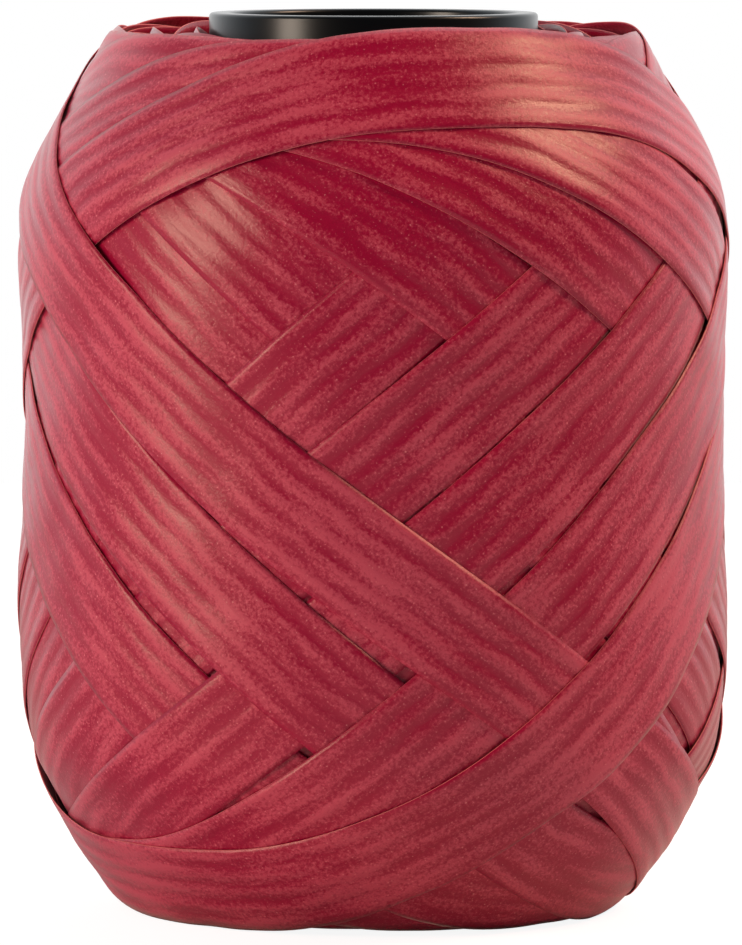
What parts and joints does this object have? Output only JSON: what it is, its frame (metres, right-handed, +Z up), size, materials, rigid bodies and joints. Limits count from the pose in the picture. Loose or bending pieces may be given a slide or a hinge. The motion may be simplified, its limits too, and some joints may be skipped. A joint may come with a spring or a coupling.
{
  "type": "ball of paper curling ribbon",
  "caption": "Barrel-shaped ball of ribbed red paper curling ribbon, wound in slanting crossed turns over an open black plastic tube.",
  "frame": {"origin": "centre of the tube at the lower end of the ball, on the surface that it stands on", "axes": "+Z up along the tube; the pictured side faces -Y"},
  "size_m": [0.0655, 0.0658, 0.082],
  "materials": {
    "ribbon": "matt ribbed",
    "core": "gloss"
  },
  "bodies": {
    "root": {"ribbon_ball": "ribbon", "core_tube": "core"}
  },
  "joints": []
}
